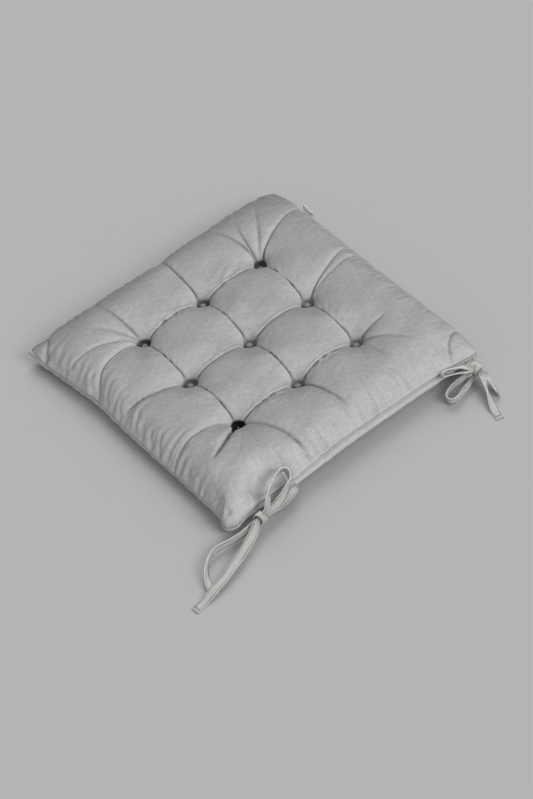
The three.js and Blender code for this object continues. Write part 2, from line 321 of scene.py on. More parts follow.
# The ties' routes: x, y, z, the tape's lean in degrees (0 lies flat, 90 stands on its edge), and
# the share of its width that is spread out there.
LEFT_LEAD_A = [
    (98, 193, 15, 0, 1), (98, 199, 15, 0, 1), (101, 204.8, 16.8, 10, 1), (109, 208.4, 17.6, 25, 1),
    (119, 209.8, 16.6, 33, 1), (132, 209.4, 15.8, 33, 1), (148, 208.4, 15.2, 33, 0.8),
]
LEFT_LEAD_B = [
    (110, 193, 15, 0, 1), (110, 198.6, 15, 0, 1), (114, 203, 12.2, 20, 1), (122, 205.6, 12.3, 33, 1),
    (133, 206.6, 12.4, 33, 1), (148, 206.8, 12.4, 33, 0.8),
]
LEFT_LOOP = [
    (147.2, 211.8, 22, 140, 0.7), (141, 207, 28.5, 118, 0.8), (132, 199.5, 34.5, 80, 1),
    (121, 193, 38.5, 67, 1), (110, 189, 41, 67, 1), (102, 188.5, 42, 75, 1), (98, 191, 39.5, 90, 1),
    (98, 195.5, 35, 110, 1), (101.5, 200, 31, 105, 1), (110, 205, 27, 72, 1),
    (121, 209.4, 23, 46, 1), (134, 211.2, 19.8, 36, 1), (148, 210.2, 18.4, 33, 0.8),
]
LEFT_TAIL_A = [
    (162.6, 212.7, 17.5, 33, 0.7), (168, 216, 15.6, 28, 0.9), (176, 220.8, 13.4, 20, 1),
    (187, 225.5, 11.4, 12, 1), (200, 230.5, 9.8, 6, 1), (214, 235.5, 8.8, 2, 1), (228, 240, 7.8, 0, 1),
    (242, 243.8, 6.6, 0, 1), (255, 246.6, 5.2, 0, 1), (267, 248.8, 2.8, 0, 1),
    (277, 250.2, 0.9, 0, 1), (283, 250.9, 0.9, 0, 1), (289.5, 251.6, 0.9, 0, 1),
]
LEFT_TAIL_B = [
    (162.4, 210.2, 13.2, 33, 0.7), (171, 210.2, 11, 62, 0.9), (184, 209, 9.2, 80, 1),
    (202, 207, 8, 88, 1), (220, 204.5, 7.6, 88, 1), (234, 209, 7.4, 88, 1), (244, 217, 7, 80, 1),
    (251.5, 227.5, 5.6, 60, 1), (255.5, 237, 3.2, 25, 1), (257, 244, 1.4, 0, 1), (258.5, 250, 1, 0, 1),
]
RIGHT_LEAD_A = [
    (-173, 195, 15, 0, 1), (-173, 201.5, 15, 0, 1), (-176, 205.2, 17.2, 0, 1), (-177.6, 207.6, 18.1, 0, 0.9),
    (-178, 210.3, 18.4, 0, 0.8),
]
RIGHT_LEAD_B = [
    (-185, 195, 15, 0, 0.8), (-184.6, 199, 15, 0, 0.8), (-183.4, 203, 14.4, 0, 0.75),
    (-181.8, 207, 13.5, 0, 0.65), (-180.6, 209.9, 13, 0, 0.6),
]
RIGHT_LOOP_A = [
    (-170.6, 214.5, 21.8, -10, 0.5), (-163, 209, 25.5, -36, 0.8), (-153, 205, 28.5, -42, 1),
    (-144, 201.4, 29.4, -40, 1), (-138.3, 200.4, 29, -37, 1), (-136.4, 200.85, 28.3, -47, 1),
    (-135.6, 202, 26.8, -90, 1), (-136.4, 203.15, 25.3, -133, 1), (-138.3, 203.6, 24.6, -143, 1),
    (-145, 205.8, 23.3, -140, 1), (-155, 210, 21.5, -138, 0.9), (-163, 213, 19.4, -145, 0.7),
    (-170.6, 215.5, 18.6, -170, 0.5),
]
RIGHT_LOOP_B = [
    (-170.6, 216.6, 15.2, 10, 0.5), (-162, 215.2, 14.4, 50, 0.6), (-150, 214.5, 11.4, 78, 1),
    (-138, 214.5, 9, 84, 1), (-128.5, 218, 7.6, 88, 1), (-125, 224.5, 7.2, 90, 1),
    (-129, 230, 7.4, 92, 1), (-139, 230.5, 8.4, 98, 1), (-152, 227, 9.4, 115, 0.8),
    (-163, 223, 10, 140, 0.55), (-170.6, 219.8, 10.8, 165, 0.5),
]
RIGHT_TAIL_A = [
    (-178.4, 224.2, 18, 0, 0.6), (-176, 231, 15.8, 30, 0.8), (-172, 240, 12, 62, 1),
    (-167.5, 250, 8.6, 66, 1), (-163.5, 259, 5.6, 40, 1), (-160, 267, 2.8, 12, 1),
    (-157, 275.5, 0.9, 0, 1), (-155.5, 280, 0.9, 0, 1), (-154, 285, 0.9, 0, 1),
]
RIGHT_TAIL_B = [
    (-181, 224.2, 13, 0, 0.6), (-183.4, 231, 9.6, 30, 0.8), (-182, 240, 8, 60, 1),
    (-179, 250, 6.6, 66, 1), (-176, 259, 6.2, 66, 1),
]

# Where the tapes start inside the seam, and where they pass through the knots.
LEFT_START_A = [(97, 183, 16, 0, 1)]
LEFT_START_B = [(109, 183, 16, 0, 1)]
RIGHT_START_A = [(-172, 185, 16, 0, 1)]
RIGHT_START_B = [(-185.5, 186, 15.5, 0, 0.8)]
LEFT_TURN = [(153, 209, 14, 40, 0.5), (156.5, 210, 17, 90, 0.45), (152.5, 211.6, 20.3, 140, 0.5)]
LEFT_THROUGH_B = [(155, 210, 16, 33, 0.5)]
LEFT_THROUGH_A = [(155, 210.4, 16.2, 33, 0.5)]
RIGHT_TURN_A = [(-177.5, 214, 18.6, 0, 0.5), (-175, 215.5, 20.2, 0, 0.45)]
RIGHT_BACK_A = [(-175.5, 218, 18.2, -180, 0.45), (-178, 221, 18, -180, 0.5)]
RIGHT_TURN_B = [(-179.5, 213.5, 13.4, 0, 0.5), (-176, 215.8, 14.4, 0, 0.45)]
RIGHT_BACK_B = [(-176, 220.3, 12.2, 170, 0.45), (-179.5, 222, 12.8, 180, 0.5)]


def tape_frames(rows, count):
    """Centres, across directions and width shares along a tape's route."""
    rows = np.array(rows, float)
    centres = rows[:, :3]
    tangents = unit(np.gradient(centres, axis=0))
    flats = unit(np.cross(tangents, (0, 0, 1)))
    uprights = np.cross(flats, tangents)
    leans = np.radians(rows[:, 3])[:, None]
    across = flats * np.cos(leans) + uprights * np.sin(leans)
    for i in range(1, len(across)):
        if across[i] @ across[i - 1] < 0:
            across[i] = -across[i]
    path = eased(along_curve(np.column_stack([centres, across, rows[:, 4]]), count))
    centre = path[:, :3]
    tangent = unit(np.gradient(centre, axis=0))
    side = path[:, 3:6]
    side = unit(side - tangent * np.sum(side * tangent, axis=1, keepdims=True))
    return centre, tangent, side, np.clip(path[:, 6], 0.3, 1)


def eased(path):
    """Takes the kinks out of a path by averaging each row with its neighbours."""
    for _ in range(3):
        path[1:-1] = (path[:-2] + 2 * path[1:-1] + path[2:]) / 4
    return path


def tape_section(count):
    """Half of a tape's section, as (place across, height), from one edge to the other."""
    across = np.sin(np.linspace(-math.pi / 2, math.pi / 2, count))
    edge = np.sqrt(np.maximum(0, 1 - np.abs(across) ** 6))
    hem = 0.9 * np.exp(-((np.abs(across) - 0.9) / 0.1) ** 2)
    groove = 0.4 * np.exp(-((np.abs(across) - STITCH_PLACE) / 0.09) ** 2)
    return across, TIE_THICKNESS / 2 * edge * (0.85 + hem - groove)


def route_length(rows):
    points = along_curve(rows, 400)[:, :3]
    return float(np.linalg.norm(np.diff(points, axis=0), axis=1).sum())


def make_tape(name, rows, body, material, seed):
    length = route_length(rows)
    count = int(length / RING_SPACING)
    centre, tangent, side, share = tape_frames(rows, count)
    normal = np.cross(tangent, side)
    across, height = tape_section(25)
    distance = np.linspace(0, length, count)
    random = np.random.default_rng(seed)
    phase = random.uniform(0, 2 * math.pi, 4)
    rings = []
    for i in range(count):
        gathered = 1 - share[i]
        crumple = gathered * 3.4 * np.cos(across * 2 * math.pi * 1.25 + phase[0] + distance[i] / 22)
        pucker = 0.10 * math.cos(distance[i] * 2 * math.pi / STITCH_PITCH) * np.abs(across) ** 3
        sag = 0.35 * math.sin(distance[i] / 11 + phase[1]) * across
        sag = sag + 0.25 * np.cos(distance[i] / 7 + phase[2]) * across ** 2
        lift = crumple + pucker + sag
        half = TIE_WIDTH / 2 * share[i] * (1 + 0.02 * math.sin(distance[i] / 5 + phase[3]))
        flat = centre[i] + np.outer(across * half, side[i])
        top = flat + np.outer(lift + height, normal[i])
        bottom = flat + np.outer(lift - height, normal[i])
        ring = np.vstack([top, bottom[-2:0:-1]])
        ring[:, 2] = np.maximum(ring[:, 2], 0.1)
        rings.append(ring)
    size = len(rings[0])
    points = np.vstack(rings)
    faces = tube_faces(count, size)
    width_points = len(across)
    for start, order in ((0, 1), ((count - 1) * size, -1)):
        for k in range(width_points - 1):
            low = [start + k, start + k + 1]
            high = [start + (size - k - 1) % size, start + (size - k) % size]
            corners = [low[0], low[1], high[0], high[1]]
            if k == width_points - 2:
                corners = [low[0], low[1], high[1]]
            if k == 0:
                corners = [low[0], low[1], high[0]]
            faces.append(tuple(corners[::-order] if order == 1 else corners))
    tape = mesh_object(name, points, faces, material[0], body)
    tape.data.materials.append(material[1])
    around = np.concatenate([across, across[-2:0:-1]])
    for face in tape.data.polygons:
        face.material_index = int(np.abs(around[np.array(face.vertices) % size]).mean() > HEM_PLACE)
    return tape, (centre, tangent, side, normal, share, length)


def capsule(centre, direction, up, length, radius):
    """A short stitch: a six-sided bead with tapered ends."""
    side = np.cross(direction, up)
    points = []
    for along, size in ((-0.5, 0.25), (-0.3, 0.9), (0.3, 0.9), (0.5, 0.25)):
        for k in range(6):
            turn = k * math.pi / 3
            outward = side * math.cos(turn) + up * math.sin(turn)
            points.append(centre + direction * along * length + outward * radius * size)
    faces = [tuple(range(5, -1, -1)), tuple(range(18, 24))]
    return points, faces + tube_faces(4, 6)


def joined(parts):
    points, faces = [], []
    for some, more in parts:
        base = len(points)
        points.extend(some)
        faces.extend(tuple(base + i for i in face) for face in more)
    return points, faces


def make_tape_stitches(name, frames, body, material):
    """Two rows of topstitching, on both faces of a tape."""
    centre, tangent, side, normal, share, length = frames
    parts = []
    for distance in np.arange(4, length - 3, STITCH_PITCH):
        i = int(distance / length * (len(centre) - 1))
        if share[i] < 0.75:
            continue
        for edge in (-STITCH_PLACE, STITCH_PLACE):
            for face in (-1, 1):
                lift = normal[i] * face * (TIE_THICKNESS / 2 * 0.78)
                place = centre[i] + side[i] * edge * TIE_WIDTH / 2 * share[i] + lift
                if place[2] > 0.4:
                    parts.append(capsule(place, tangent[i], normal[i] * face, STITCH_LENGTH, STITCH_RADIUS))
    for i in (-3, -4):
        for edge in np.arange(-0.7, 0.75, 0.28):
            for face in (-1, 1):
                place = centre[i] + side[i] * edge * TIE_WIDTH / 2 + normal[i] * face * TIE_THICKNESS * 0.4
                if place[2] > 0.4:
                    parts.append(capsule(place, side[i], normal[i] * face, 1.2, STITCH_RADIUS))
    points, faces = joined(parts)
    return mesh_object(name, points, faces, material, body)


def make_knot(name, node, along, body, material, seed):
    """A knot: the tape wrapped round the others, as a few overlapping bands on one lumpy core."""
    middle = middle_mm(node)
    low, high = box_mm(node)
    along = unit(np.array(along, float))
    side = np.cross(along, (0, 0, 1))
    up = np.cross(side, along)
    random = np.random.default_rng(seed)
    phase = random.uniform(0, 2 * math.pi, 3)
    radius = (high - low)[2] / 2
    parts = []
    for place, width, tilt, size in ((-2.3, 7.5, 0.30, 0.93), (2.0, 7.2, -0.25, 0.97)):
        around, across = 40, 13
        points = []
        for i in range(around):
            turn = 2 * math.pi * i / around
            outward = side * math.cos(turn) + up * math.sin(turn)
            lump = 1 + 0.05 * math.cos(2 * turn + phase[0]) + 0.04 * math.cos(3 * turn + phase[1])
            for k in range(across * 2):
                t = (k if k < across else 2 * across - 1 - k) / (across - 1) * 2 - 1
                outer = k < across
                crown = math.sqrt(max(0, 1 - abs(t) ** 5))
                crease = 0.35 * math.cos(t * 7 + phase[2] + turn)
                depth = (crown * 1.9 + crease * crown) if outer else 0.0
                r = radius * size * lump - 2.1 + depth
                shift = place + t * width / 2 + tilt * radius * math.sin(turn + phase[0])
                points.append(middle + outward * r + along * shift)
        faces = [(a, d, c, b) for a, b, c, d in tube_faces(around, across * 2, closed=True)]
        parts.append((points, faces))
    points, faces = joined(parts)
    knot = mesh_object(name, points, faces, material, body)
    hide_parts(node)
    return knot


def make_tie(name, body, material, thread, rows, nodes, seed):
    """One tape from inside the seam to its free end; it leaves the pad at its third row."""
    tape, frames = make_tape(name, rows, body, material, seed)
    make_tape_stitches(name + "_topstitching", frames, body, thread)
    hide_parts(*nodes)
    tuple(v * MM for v in rows[2][:3])


def make_ties(materials):
    velvet, thread = materials["tie"], materials["tie_thread"]
    tape = (velvet, materials["tie_edge"])
    left = make_knot("left_bow_knot", "left_knot", (0.985, 0.17, 0), "left_bow", velvet, 4)
    right = make_knot("right_bow_knot", "right_knot", (0, 1, 0), "right_bow", velvet, 7)
    make_tie("left_tie_wrapped", "left_bow", tape, thread,
             LEFT_START_A + LEFT_LEAD_A + LEFT_THROUGH_A + LEFT_TAIL_A,
             ["left_lead_a", "left_tail_a"], 1)
    make_tie("left_tie_looped", "left_bow", tape, thread,
             LEFT_START_B + LEFT_LEAD_B + LEFT_TURN + LEFT_LOOP + LEFT_THROUGH_B + LEFT_TAIL_B,
             ["left_lead_b", "left_loop", "left_tail_b"], 2)
    make_tie("right_tie_upper", "right_bow", tape, thread,
             RIGHT_START_A + RIGHT_LEAD_A + RIGHT_TURN_A + RIGHT_LOOP_A + RIGHT_BACK_A + RIGHT_TAIL_A,
             ["right_lead_a", "right_loop_a", "right_tail_a"], 3)
    make_tie("right_tie_lower", "right_bow", tape, thread,
             RIGHT_START_B + RIGHT_LEAD_B + RIGHT_TURN_B + RIGHT_LOOP_B + RIGHT_BACK_B + RIGHT_TAIL_B,
             ["right_lead_b", "right_loop_b", "right_tail_b"], 5)


# ---- the stuffed pad ----

CROWN_Z = 55
PROFILE_POWER = 0.5
# How far each edge is drawn in from the square, as (place along the edge, distance).
EDGE_PULLS = {
    "+x": [(-200, 0), (-180, 1), (-75, 13), (0, 11), (150, 12), (178, 11), (190, 4), (200, 0)],
    "-x": [(-200, 0), (-120, 1), (0, 2.5), (120, 2), (200, 0)],
    "+y": [(-200, 0), (-100, 3), (0, 4), (60, 3), (90, 2), (120, 4), (145, 6),
           (165, 5), (182, 1), (200, 0)],
    "-y": [(-200, 0), (-100, 2), (0, 3), (140, 2), (200, 0)],
}
EDGE_BULGES = {"+x": 1, "-x": 5, "+y": 2.5, "-y": 4.5}
BULGE_INSET = 4
SEAM_GROOVE = 2.8
ROUND_FROM = 0.88
CORNER_ROUNDING = 1.0
SHARP_CORNER_ROUNDING = 0.5
BOTTOM_ROLL = 24
CLOTH = 1.2
RIPPLE_WAVES = 9

# Height of the seam along each edge, as (place along the edge, height).
SEAM_HEIGHTS = {
    "+x": [(-200, 21), (-185, 17), (-172, 13), (-150, 12), (-90, 14), (-20, 13), (60, 12),
           (150, 12), (200, 9)],
    "-x": [(-200, 12), (-100, 15), (100, 16), (200, 14)],
    "+y": [(-200, 13), (-150, 20), (20, 26), (100, 18), (200, 8)],
    "-y": [(-200, 12), (-100, 15), (100, 15), (175, 16), (200, 21)],
}


def fullness(t, low=6.0, high=6.0):
    """The filled profile across the pad, 0 at both seams and 1 in the middle; a bigger power is boxier."""
    return np.maximum(0, 1 - np.abs(t) ** np.where(t < 0, low, high)) ** PROFILE_POWER


def corner_share(u, v, sign_x, sign_y, width):
    """1 at one corner of the pad, falling to 0 over a share of the pad's half width."""
    away = np.hypot(1 - u * sign_x, 1 - v * sign_y) / width
    return np.clip(1 - away, 0, 1) ** 2 * (3 - 2 * np.clip(1 - away, 0, 1))


def surface_lines(count, tuft_density):
    """Grid lines from -1 to 1: evenly spaced over the puffed profile, and closer at the tuft rows."""
    t = np.linspace(0, 1, 6001)
    step = np.hypot(np.diff(t) * HALF, np.diff(fullness(t)) * CROWN_Z * 0.6)
    middle = (t[1:] + t[:-1]) / 2 * HALF
    weight = 1 + tuft_density * sum(np.exp(-((middle - row) / 7) ** 2) for row in (0, PITCH))
    length = np.concatenate([[0], np.cumsum(step * weight)])
    half = np.interp(np.linspace(0, length[-1], count // 2 + 1), length, t)
    return np.concatenate([-half[:0:-1], half])


def ripple(x, y, wavelength, seed):
    """Smooth random bumps between about -1 and 1, the same each run."""
    random = np.random.default_rng(seed)
    total = np.zeros_like(x)
    for _ in range(RIPPLE_WAVES):
        turn = random.uniform(0, 2 * math.pi)
        phase = random.uniform(0, 2 * math.pi)
        stretch = random.uniform(0.7, 1.5)
        along = x * math.cos(turn) + y * math.sin(turn)
        total += np.cos(along * 2 * math.pi * stretch / wavelength + phase)
    return total / math.sqrt(RIPPLE_WAVES * 2)


def along_edge(points, place):
    """A value read along an edge, eased so that it has no corners."""
    places, values = zip(*points)
    return sum(np.interp(place + shift, places, values) for shift in (-3, -1, 1, 3)) / 4


def seam_height(x, y):
    distances = {"+x": HALF - x, "-x": HALF + x, "+y": HALF - y, "-y": HALF + y}
    total, weights = 0, 0
    for edge, points in SEAM_HEIGHTS.items():
        along = y if edge[1] == "x" else x
        weight = np.exp(-np.maximum(0, distances[edge]) / 12)
        total = total + weight * along_edge(points, along)
        weights = weights + weight
    # The cover is caught in a few kinks part of the way along the tie edge.
    kinks = 1.8 * np.sin((x - 45) * 2 * math.pi / 18) * np.exp(-((x - 45) / 16) ** 2)
    return total / weights + kinks * np.exp(-np.maximum(0, distances["+y"]) / 12)


def outline(u, v):
    """The pad's plan: a square with drawn-in edges and rounded corners, the (+x, -y) one least."""
    x, y = u * HALF, v * HALF
    pull_x = np.where(u > 0, along_edge(EDGE_PULLS["+x"], y), along_edge(EDGE_PULLS["-x"], y))
    pull_y = np.where(v > 0, along_edge(EDGE_PULLS["+y"], x), along_edge(EDGE_PULLS["-y"], x))
    px = x - np.sign(u) * pull_x * np.abs(u) ** 6
    py = y - np.sign(v) * pull_y * np.abs(v) ** 6
    a = np.clip((u - ROUND_FROM) / (1 - ROUND_FROM), 0, 1)
    b = np.clip((v - ROUND_FROM) / (1 - ROUND_FROM), 0, 1)
    rounding = np.where((u > 0) & (v < 0), SHARP_CORNER_ROUNDING, CORNER_ROUNDING)
    block = (1 - ROUND_FROM) * HALF * rounding
    px = px - block * a * (1 - np.sqrt(1 - b ** 2 / 2))
    py = py - block * b * (1 - np.sqrt(1 - a ** 2 / 2))
    return px, py


def tuft_distance(x, y):
    return np.min([np.hypot(x - a, y - b) for a, b in TUFTS], axis=0)


def nearest_tuft(values, x, y):
    """The value given for the nearest tuft, easing from one tuft's to the next one's between them."""
    weights = np.array([np.exp(-np.hypot(x - a, y - b) / 10) for a, b in TUFTS]) + 1e-12
    return np.tensordot(np.array(values, float), weights, 1) / weights.sum(axis=0)


def outer_share(u, v):
    """How far out a place lies, from 0 in the middle to 1 on the seam."""
    return np.maximum(np.abs(u), np.abs(v))


def rim_hold(u, v):
    """0 on the seam, rising to 1 a few millimetres in: folds don't move the sewn edge."""
    return np.clip((1 - outer_share(u, v)) * HALF / 5, 0, 1) ** 0.7


# For each tuft, row by row from the -y edge: how high the cloth lies there above the usual height,
# how far from its middle the cloth stays down, and how much shade is painted round its button.
TUFT_LIFTS = [-1, 0, -1, -1, -2, -1, -1, -2, -3]
TUFT_MOUTHS = [0, 1, 0, 1.5, 1.5, 1, 1.5, 1.5, -3]
TUFT_PAINTED_SHADE = [0.7, 0.5, 0.65, 0.25, 0.25, 0.4, 0.25, 0.25, 0.9]


def bulge_of(t, along, axis):
    """How far the filled rim stands out past its seam, along one axis."""
    inset = (1 - np.abs(t)) * HALF / BULGE_INSET
    most = np.where(t > 0, EDGE_BULGES["+" + axis], EDGE_BULGES["-" + axis])
    return np.sign(t) * most * inset * np.exp(1 - inset) * np.clip((1 - np.abs(along)) * 5, 0, 1)


def broad_top(u, v):
    x, y = outline(u, v)
    seam = seam_height(u * HALF, v * HALF)
    crown = CROWN_Z + 1.5 * ripple(u * HALF, v * HALF, 150, 3)
    fat = 1 - 0.6 * corner_share(u, v, 1, 1, 0.4) - 0.15 * corner_share(u, v, -1, 1, 0.4)
    z = seam + (crown - seam) * (fullness(u, 6, 4.4) * fullness(v, 6, 5)) ** fat
    x0, y0 = u * HALF, v * HALF
    reach = np.maximum(0, tuft_distance(x0, y0) - nearest_tuft(TUFT_MOUTHS, x0, y0))
    lowest = TUFT_TOP_Z + nearest_tuft(TUFT_LIFTS, x0, y0)
    z = z - np.maximum(0, z - lowest) * (0.3 * np.exp(-reach / 4.5) + 0.7 * np.exp(-reach / 22))
    return np.stack([x + bulge_of(u, v, "x"), y + bulge_of(v, u, "y"), z], axis=-1)


def outward_of(u, v):
    """The direction away from the pad's middle, level and square to the nearer edge."""
    return unit(np.stack([u * np.abs(u) ** 9, v * np.abs(v) ** 9], axis=-1))


def broad_bottom(u, v):
    x, y = outline(u, v)
    seam = seam_height(u * HALF, v * HALF)
    inset = HALF - outer_share(u, v) * HALF
    roll = 1 - np.sqrt(np.maximum(0, 1 - np.maximum(0, 1 - inset / BOTTOM_ROLL) ** 2))
    reach = np.maximum(0, tuft_distance(u * HALF, v * HALF) - 4)
    dimple = TUFT_BOTTOM_Z / (1 + (reach / 16) ** 2) ** 1.5
    z = seam * roll + dimple * (1 - roll)
    bulge = np.maximum(0, seam - 8) * 0.3 * 4 * roll * (1 - roll) * np.clip(1 - inset / BOTTOM_ROLL, 0, 1)
    outward = outward_of(u, v)
    return np.stack([x + outward[..., 0] * bulge, y + outward[..., 1] * bulge, z], axis=-1)


# ---- folds ----

# Each pleat is an arc that leaves a tuft: the tuft's column and row, heading in degrees from +x, length,
# how far the far end bows to the left, depth at the tuft, depth at the far end, width of its slope, and
# the side whose cloth laps over it (1 left of the route, -1 right, 0 none).
PLEATS = [
    ((-1, -1), -95, 90, -15, 7, 2, 7, 1),
    ((-1, -1), -90, 90, 15, 7, 2, 7, 0),
    ((-1, -1), -130, 105, 10, 5, 2, 8, 0),
    ((-1, -1), -150, 115, -10, 9, 4, 8, -1),
    ((0, -1), -90, 105, -5, 8, 3, 8, 1),
    ((1, -1), -85, 105, 0, 6, 2, 7, 0),
    ((1, -1), -60, 75, 5, 5, 1, 7, 0),
    ((1, -1), -40, 95, 35, 6, 3, 6, 1),
    ((1, -1), -10, 100, 40, 10, 5, 7, 1),
    ((1, 0), -15, 95, 5, 12, 5, 9, -1),
    ((1, 1), -30, 100, 50, 9, 3, 7, 1),
    ((1, 1), 30, 70, -5, 19, 8, 4, 0),
    ((1, 1), 130, 95, -40, 9, 6, 8, -1),
    ((0, 1), 110, 85, -15, 8, 4, 7, 1),
    ((-1, 0), -160, 110, 0, 8, 2, 8, -1),
    ((-1, 0), -170, 90, 0, 3, 2, 8, 0),
    ((-1, 1), 180, 55, 0, 7, 0.5, 6, 0),
    ((-1, 1), 140, 70, -10, 5, 0.5, 6, 0),
    ((-1, 1), 70, 50, 0, 3, 0.5, 6, 0),
    ((-1, 1), 95, 65, 0, 3, 0.5, 6, 0),
]

# A fold across a corner: the corner's signs, how far along each edge it starts and ends, and then as above.
CORNER_FOLDS = [
    ((-1, 1), 40, 40, 4, 4, 5, 1),
    ((1, -1), 30, 30, 5, 6, 5, -1),
]


def pleat_route(tuft, heading, length, bow):
    """Points of an arc that leaves a tuft straight and bows more the further it goes."""
    turn = math.radians(heading)
    ahead = np.array((math.cos(turn), math.sin(turn)))
    left = np.array((-ahead[1], ahead[0]))
    start = np.array(tuft) * PITCH
    return [tuple(start + ahead * length * share + left * bow * share ** 2) for share in np.linspace(0, 1, 9)]


def corner_route(corner, along_x, along_y):
    """A slightly bowed line across a corner of the pad."""
    start = np.array((HALF - 2, HALF - along_x))
    end = np.array((HALF - along_y, HALF - 2))
    inward = np.array((-3, -3))
    return [tuple((start + (end - start) * share + inward * 4 * share * (1 - share)) * corner)
            for share in np.linspace(0, 1, 5)]


def pleats():
    for tuft, heading, length, bow, *shape in PLEATS:
        yield pleat_route(tuft, heading, length, bow), shape
    for corner, along_x, along_y, *shape in CORNER_FOLDS:
        yield corner_route(corner, along_x, along_y), shape


WRINKLE_STRENGTH = 0.62


def wrinkles():
    """Soft rolls of loose cloth, flat where they start: route, height midway and at the end, and width."""
    random = np.random.default_rng(17)
    # Where the cover is gathered along the +x seam, the rolls are many and curl towards the seam.
    for place in np.arange(-172, 150, 15):
        y = place + random.uniform(-4, 4)
        reach = random.uniform(22, 62) * (1 if y < 90 else 0.5)
        curl = random.uniform(6, 15) * (1 if y < 60 else 0.3)
        route = [(198 - reach, y - curl * 0.55), (198 - reach * 0.6, y - curl),
                 (198 - reach * 0.25, y - curl * 0.6), (199, y)]
        height = random.uniform(0.5, 2.2)
        yield route, height, height * random.uniform(0.6, 1.2), random.uniform(2.6, 4.4)
    # The other edges carry a few short ones.
    for edge in ("-x", "+y", "-y"):
        many = edge == "+y"
        for place in np.arange(-170, 175, 13 if many else 21):
            a = place + random.uniform(-8, 8)
            reach = random.uniform(18, 62) if many else random.uniform(14, 34)
            lean = random.uniform(-8, 8)
            height = random.uniform(0.6, 2.1) if many else random.uniform(0.3, 1.3)
            sign = 1 if edge[0] == "+" else -1
            route = [(a + lean, 198 - reach), (a + lean * 0.4, 198 - reach * 0.5), (a, 199)]
            route = [(p, sign * q) if edge[1] == "y" else (sign * q, p) for p, q in route]
            yield route, height, height, random.uniform(1.8, 3.4)


CREASE_DEPTH_AT_TUFT = 9
CREASE_DEPTH_MIDWAY = 7.5
PLEAT_STRENGTH = 1.2


def crease_routes():
    """The straight folds between neighbouring tufts, drawn slightly bowed, as cloth lies."""
    rows = sorted({round(float(t[0]), 3) for t in TUFTS})
    bows = iter([1.5, -1, -1.5, 1, 1, -1.5, 1.5, -1, -1, 1.5, 1, -1.5])
    for a in rows:
        for low, high in zip(rows, rows[1:]):
            for crosswise in (False, True):
                bow = next(bows)
                middle = (low + high) / 2
                points = [(low, a), (middle, a + bow), (high, a)]
                yield [(y, x) for x, y in points] if crosswise else points


def to_route(route, x, y, reach):
    """Signed distance from a route, and the share of the route passed, for the points near it."""
    line = along_curve(np.array([(*p, 0) for p in route], float), 30)[:, :2]
    low, high = line.min(0) - reach, line.max(0) + reach
    near = np.nonzero((x > low[0]) & (x < high[0]) & (y > low[1]) & (y < high[1]))
    px, py = x[near], y[near]
    best = np.full(px.shape, 1e9)
    signed, share = np.zeros_like(px), np.zeros_like(px)
    across = np.zeros((*px.shape, 2))
    for i, (a, b) in enumerate(zip(line, line[1:])):
        step = b - a
        t = np.clip(((px - a[0]) * step[0] + (py - a[1]) * step[1]) / (step @ step), 0, 1)
        dx, dy = px - a[0] - t * step[0], py - a[1] - t * step[1]
        distance = np.hypot(dx, dy)
        closer = distance < best
        best[closer] = distance[closer]
        side = np.sign(step[0] * dy - step[1] * dx)
        signed[closer] = (distance * side)[closer]
        share[closer] = ((i + t) / (len(line) - 1))[closer]
        across[closer] = np.array([-step[1], step[0]]) / np.linalg.norm(step)
    return near, signed, share, across


def fold_profile(distance, slope, crisp, crisp_share):
    """A fold's section, 1 at its line: a broad slope and a crisp notch, both dying away."""
    distance = np.abs(distance)
    return (1 - crisp_share) * np.exp(-distance / slope) + crisp_share * np.exp(-distance / crisp)


def top_folds(u, v):
    """How far each point of the top sinks, how far it slides over a fold, and how much shade is painted
    there.
    """
    x, y = u * HALF, v * HALF
    sink = np.zeros_like(x)
    lip = np.zeros_like(x)
    slide = np.zeros((*x.shape, 2))
    mark = np.zeros_like(x)

    def fold_in(route, reach, depth_along, profile, side):
        near, signed, share, across = to_route(route, x, y, reach)
        fade = np.clip((reach - np.abs(signed)) / 12, 0, 1)
        depth = depth_along(share)
        ends = np.clip(np.minimum(share, 1 - share) * 7, 0, 1)
        fold = depth * profile(signed) * fade
        sink[near] = (sink[near] ** 3 + fold ** 3) ** (1 / 3)
        # Painted shade along each fold line, darker where the fold is deeper.
        painted_shade = np.clip(depth / 24, 0, 1) * np.exp(-(signed / 1.3) ** 2) * ends
        mark[near] = np.maximum(mark[near], painted_shade)
        if side:
            over = np.maximum(0, signed * side) / 2.2
            push = -side * 0.16 * depth * ends * over * np.exp(1 - over)
            slide[near] += across * push[:, None]
            raised = 0.12 * depth * ends * np.exp(-((signed * side - 2.6) / 1.3) ** 2)
            lip[near] = np.maximum(lip[near], raised)

    def crease_profile(distance):
        return fold_profile(distance, 11, 0.8, 0.48)

    def crease_depth(share):
        change = CREASE_DEPTH_MIDWAY - CREASE_DEPTH_AT_TUFT
        return CREASE_DEPTH_AT_TUFT + change * np.sin(math.pi * share)

    for route in crease_routes():
        fold_in(route, 45, crease_depth, crease_profile, -1)
    for route, (start, end, slope, side) in pleats():
        at_rim = max(abs(c) for c in route[-1]) > 182

        def pleat_depth(share):
            whole = start + (end - start) * share
            fade = 1 if at_rim else np.clip((1 - share) * 5, 0.1, 1)
            return PLEAT_STRENGTH * whole * fade

        def pleat_profile(distance):
            return fold_profile(distance, slope, 1.3, 0.8 if start > 15 else 0.5)

        fold_in(route, 38, pleat_depth, pleat_profile, side)
    rolls = np.zeros_like(x)
    for route, middle, end, width in wrinkles():
        near, signed, share, _ = to_route(route, x, y, 5 * width)
        depth = np.interp(share, [0, 0.5, 1], [0, middle, end])
        across = (signed / width) ** 2
        rolls[near] += WRINKLE_STRENGTH * depth * (1 - across) * np.exp(-across / 2)
    # Painted shade in each tuft hole, close round its button.
    near_tuft = nearest_tuft(TUFT_PAINTED_SHADE, x, y)
    past_mouth = np.maximum(0, tuft_distance(x, y) - 2.8)
    mark = np.maximum(mark, near_tuft * np.exp(-(past_mouth / 1.2) ** 2))
    return sink - lip + rolls, slide, mark


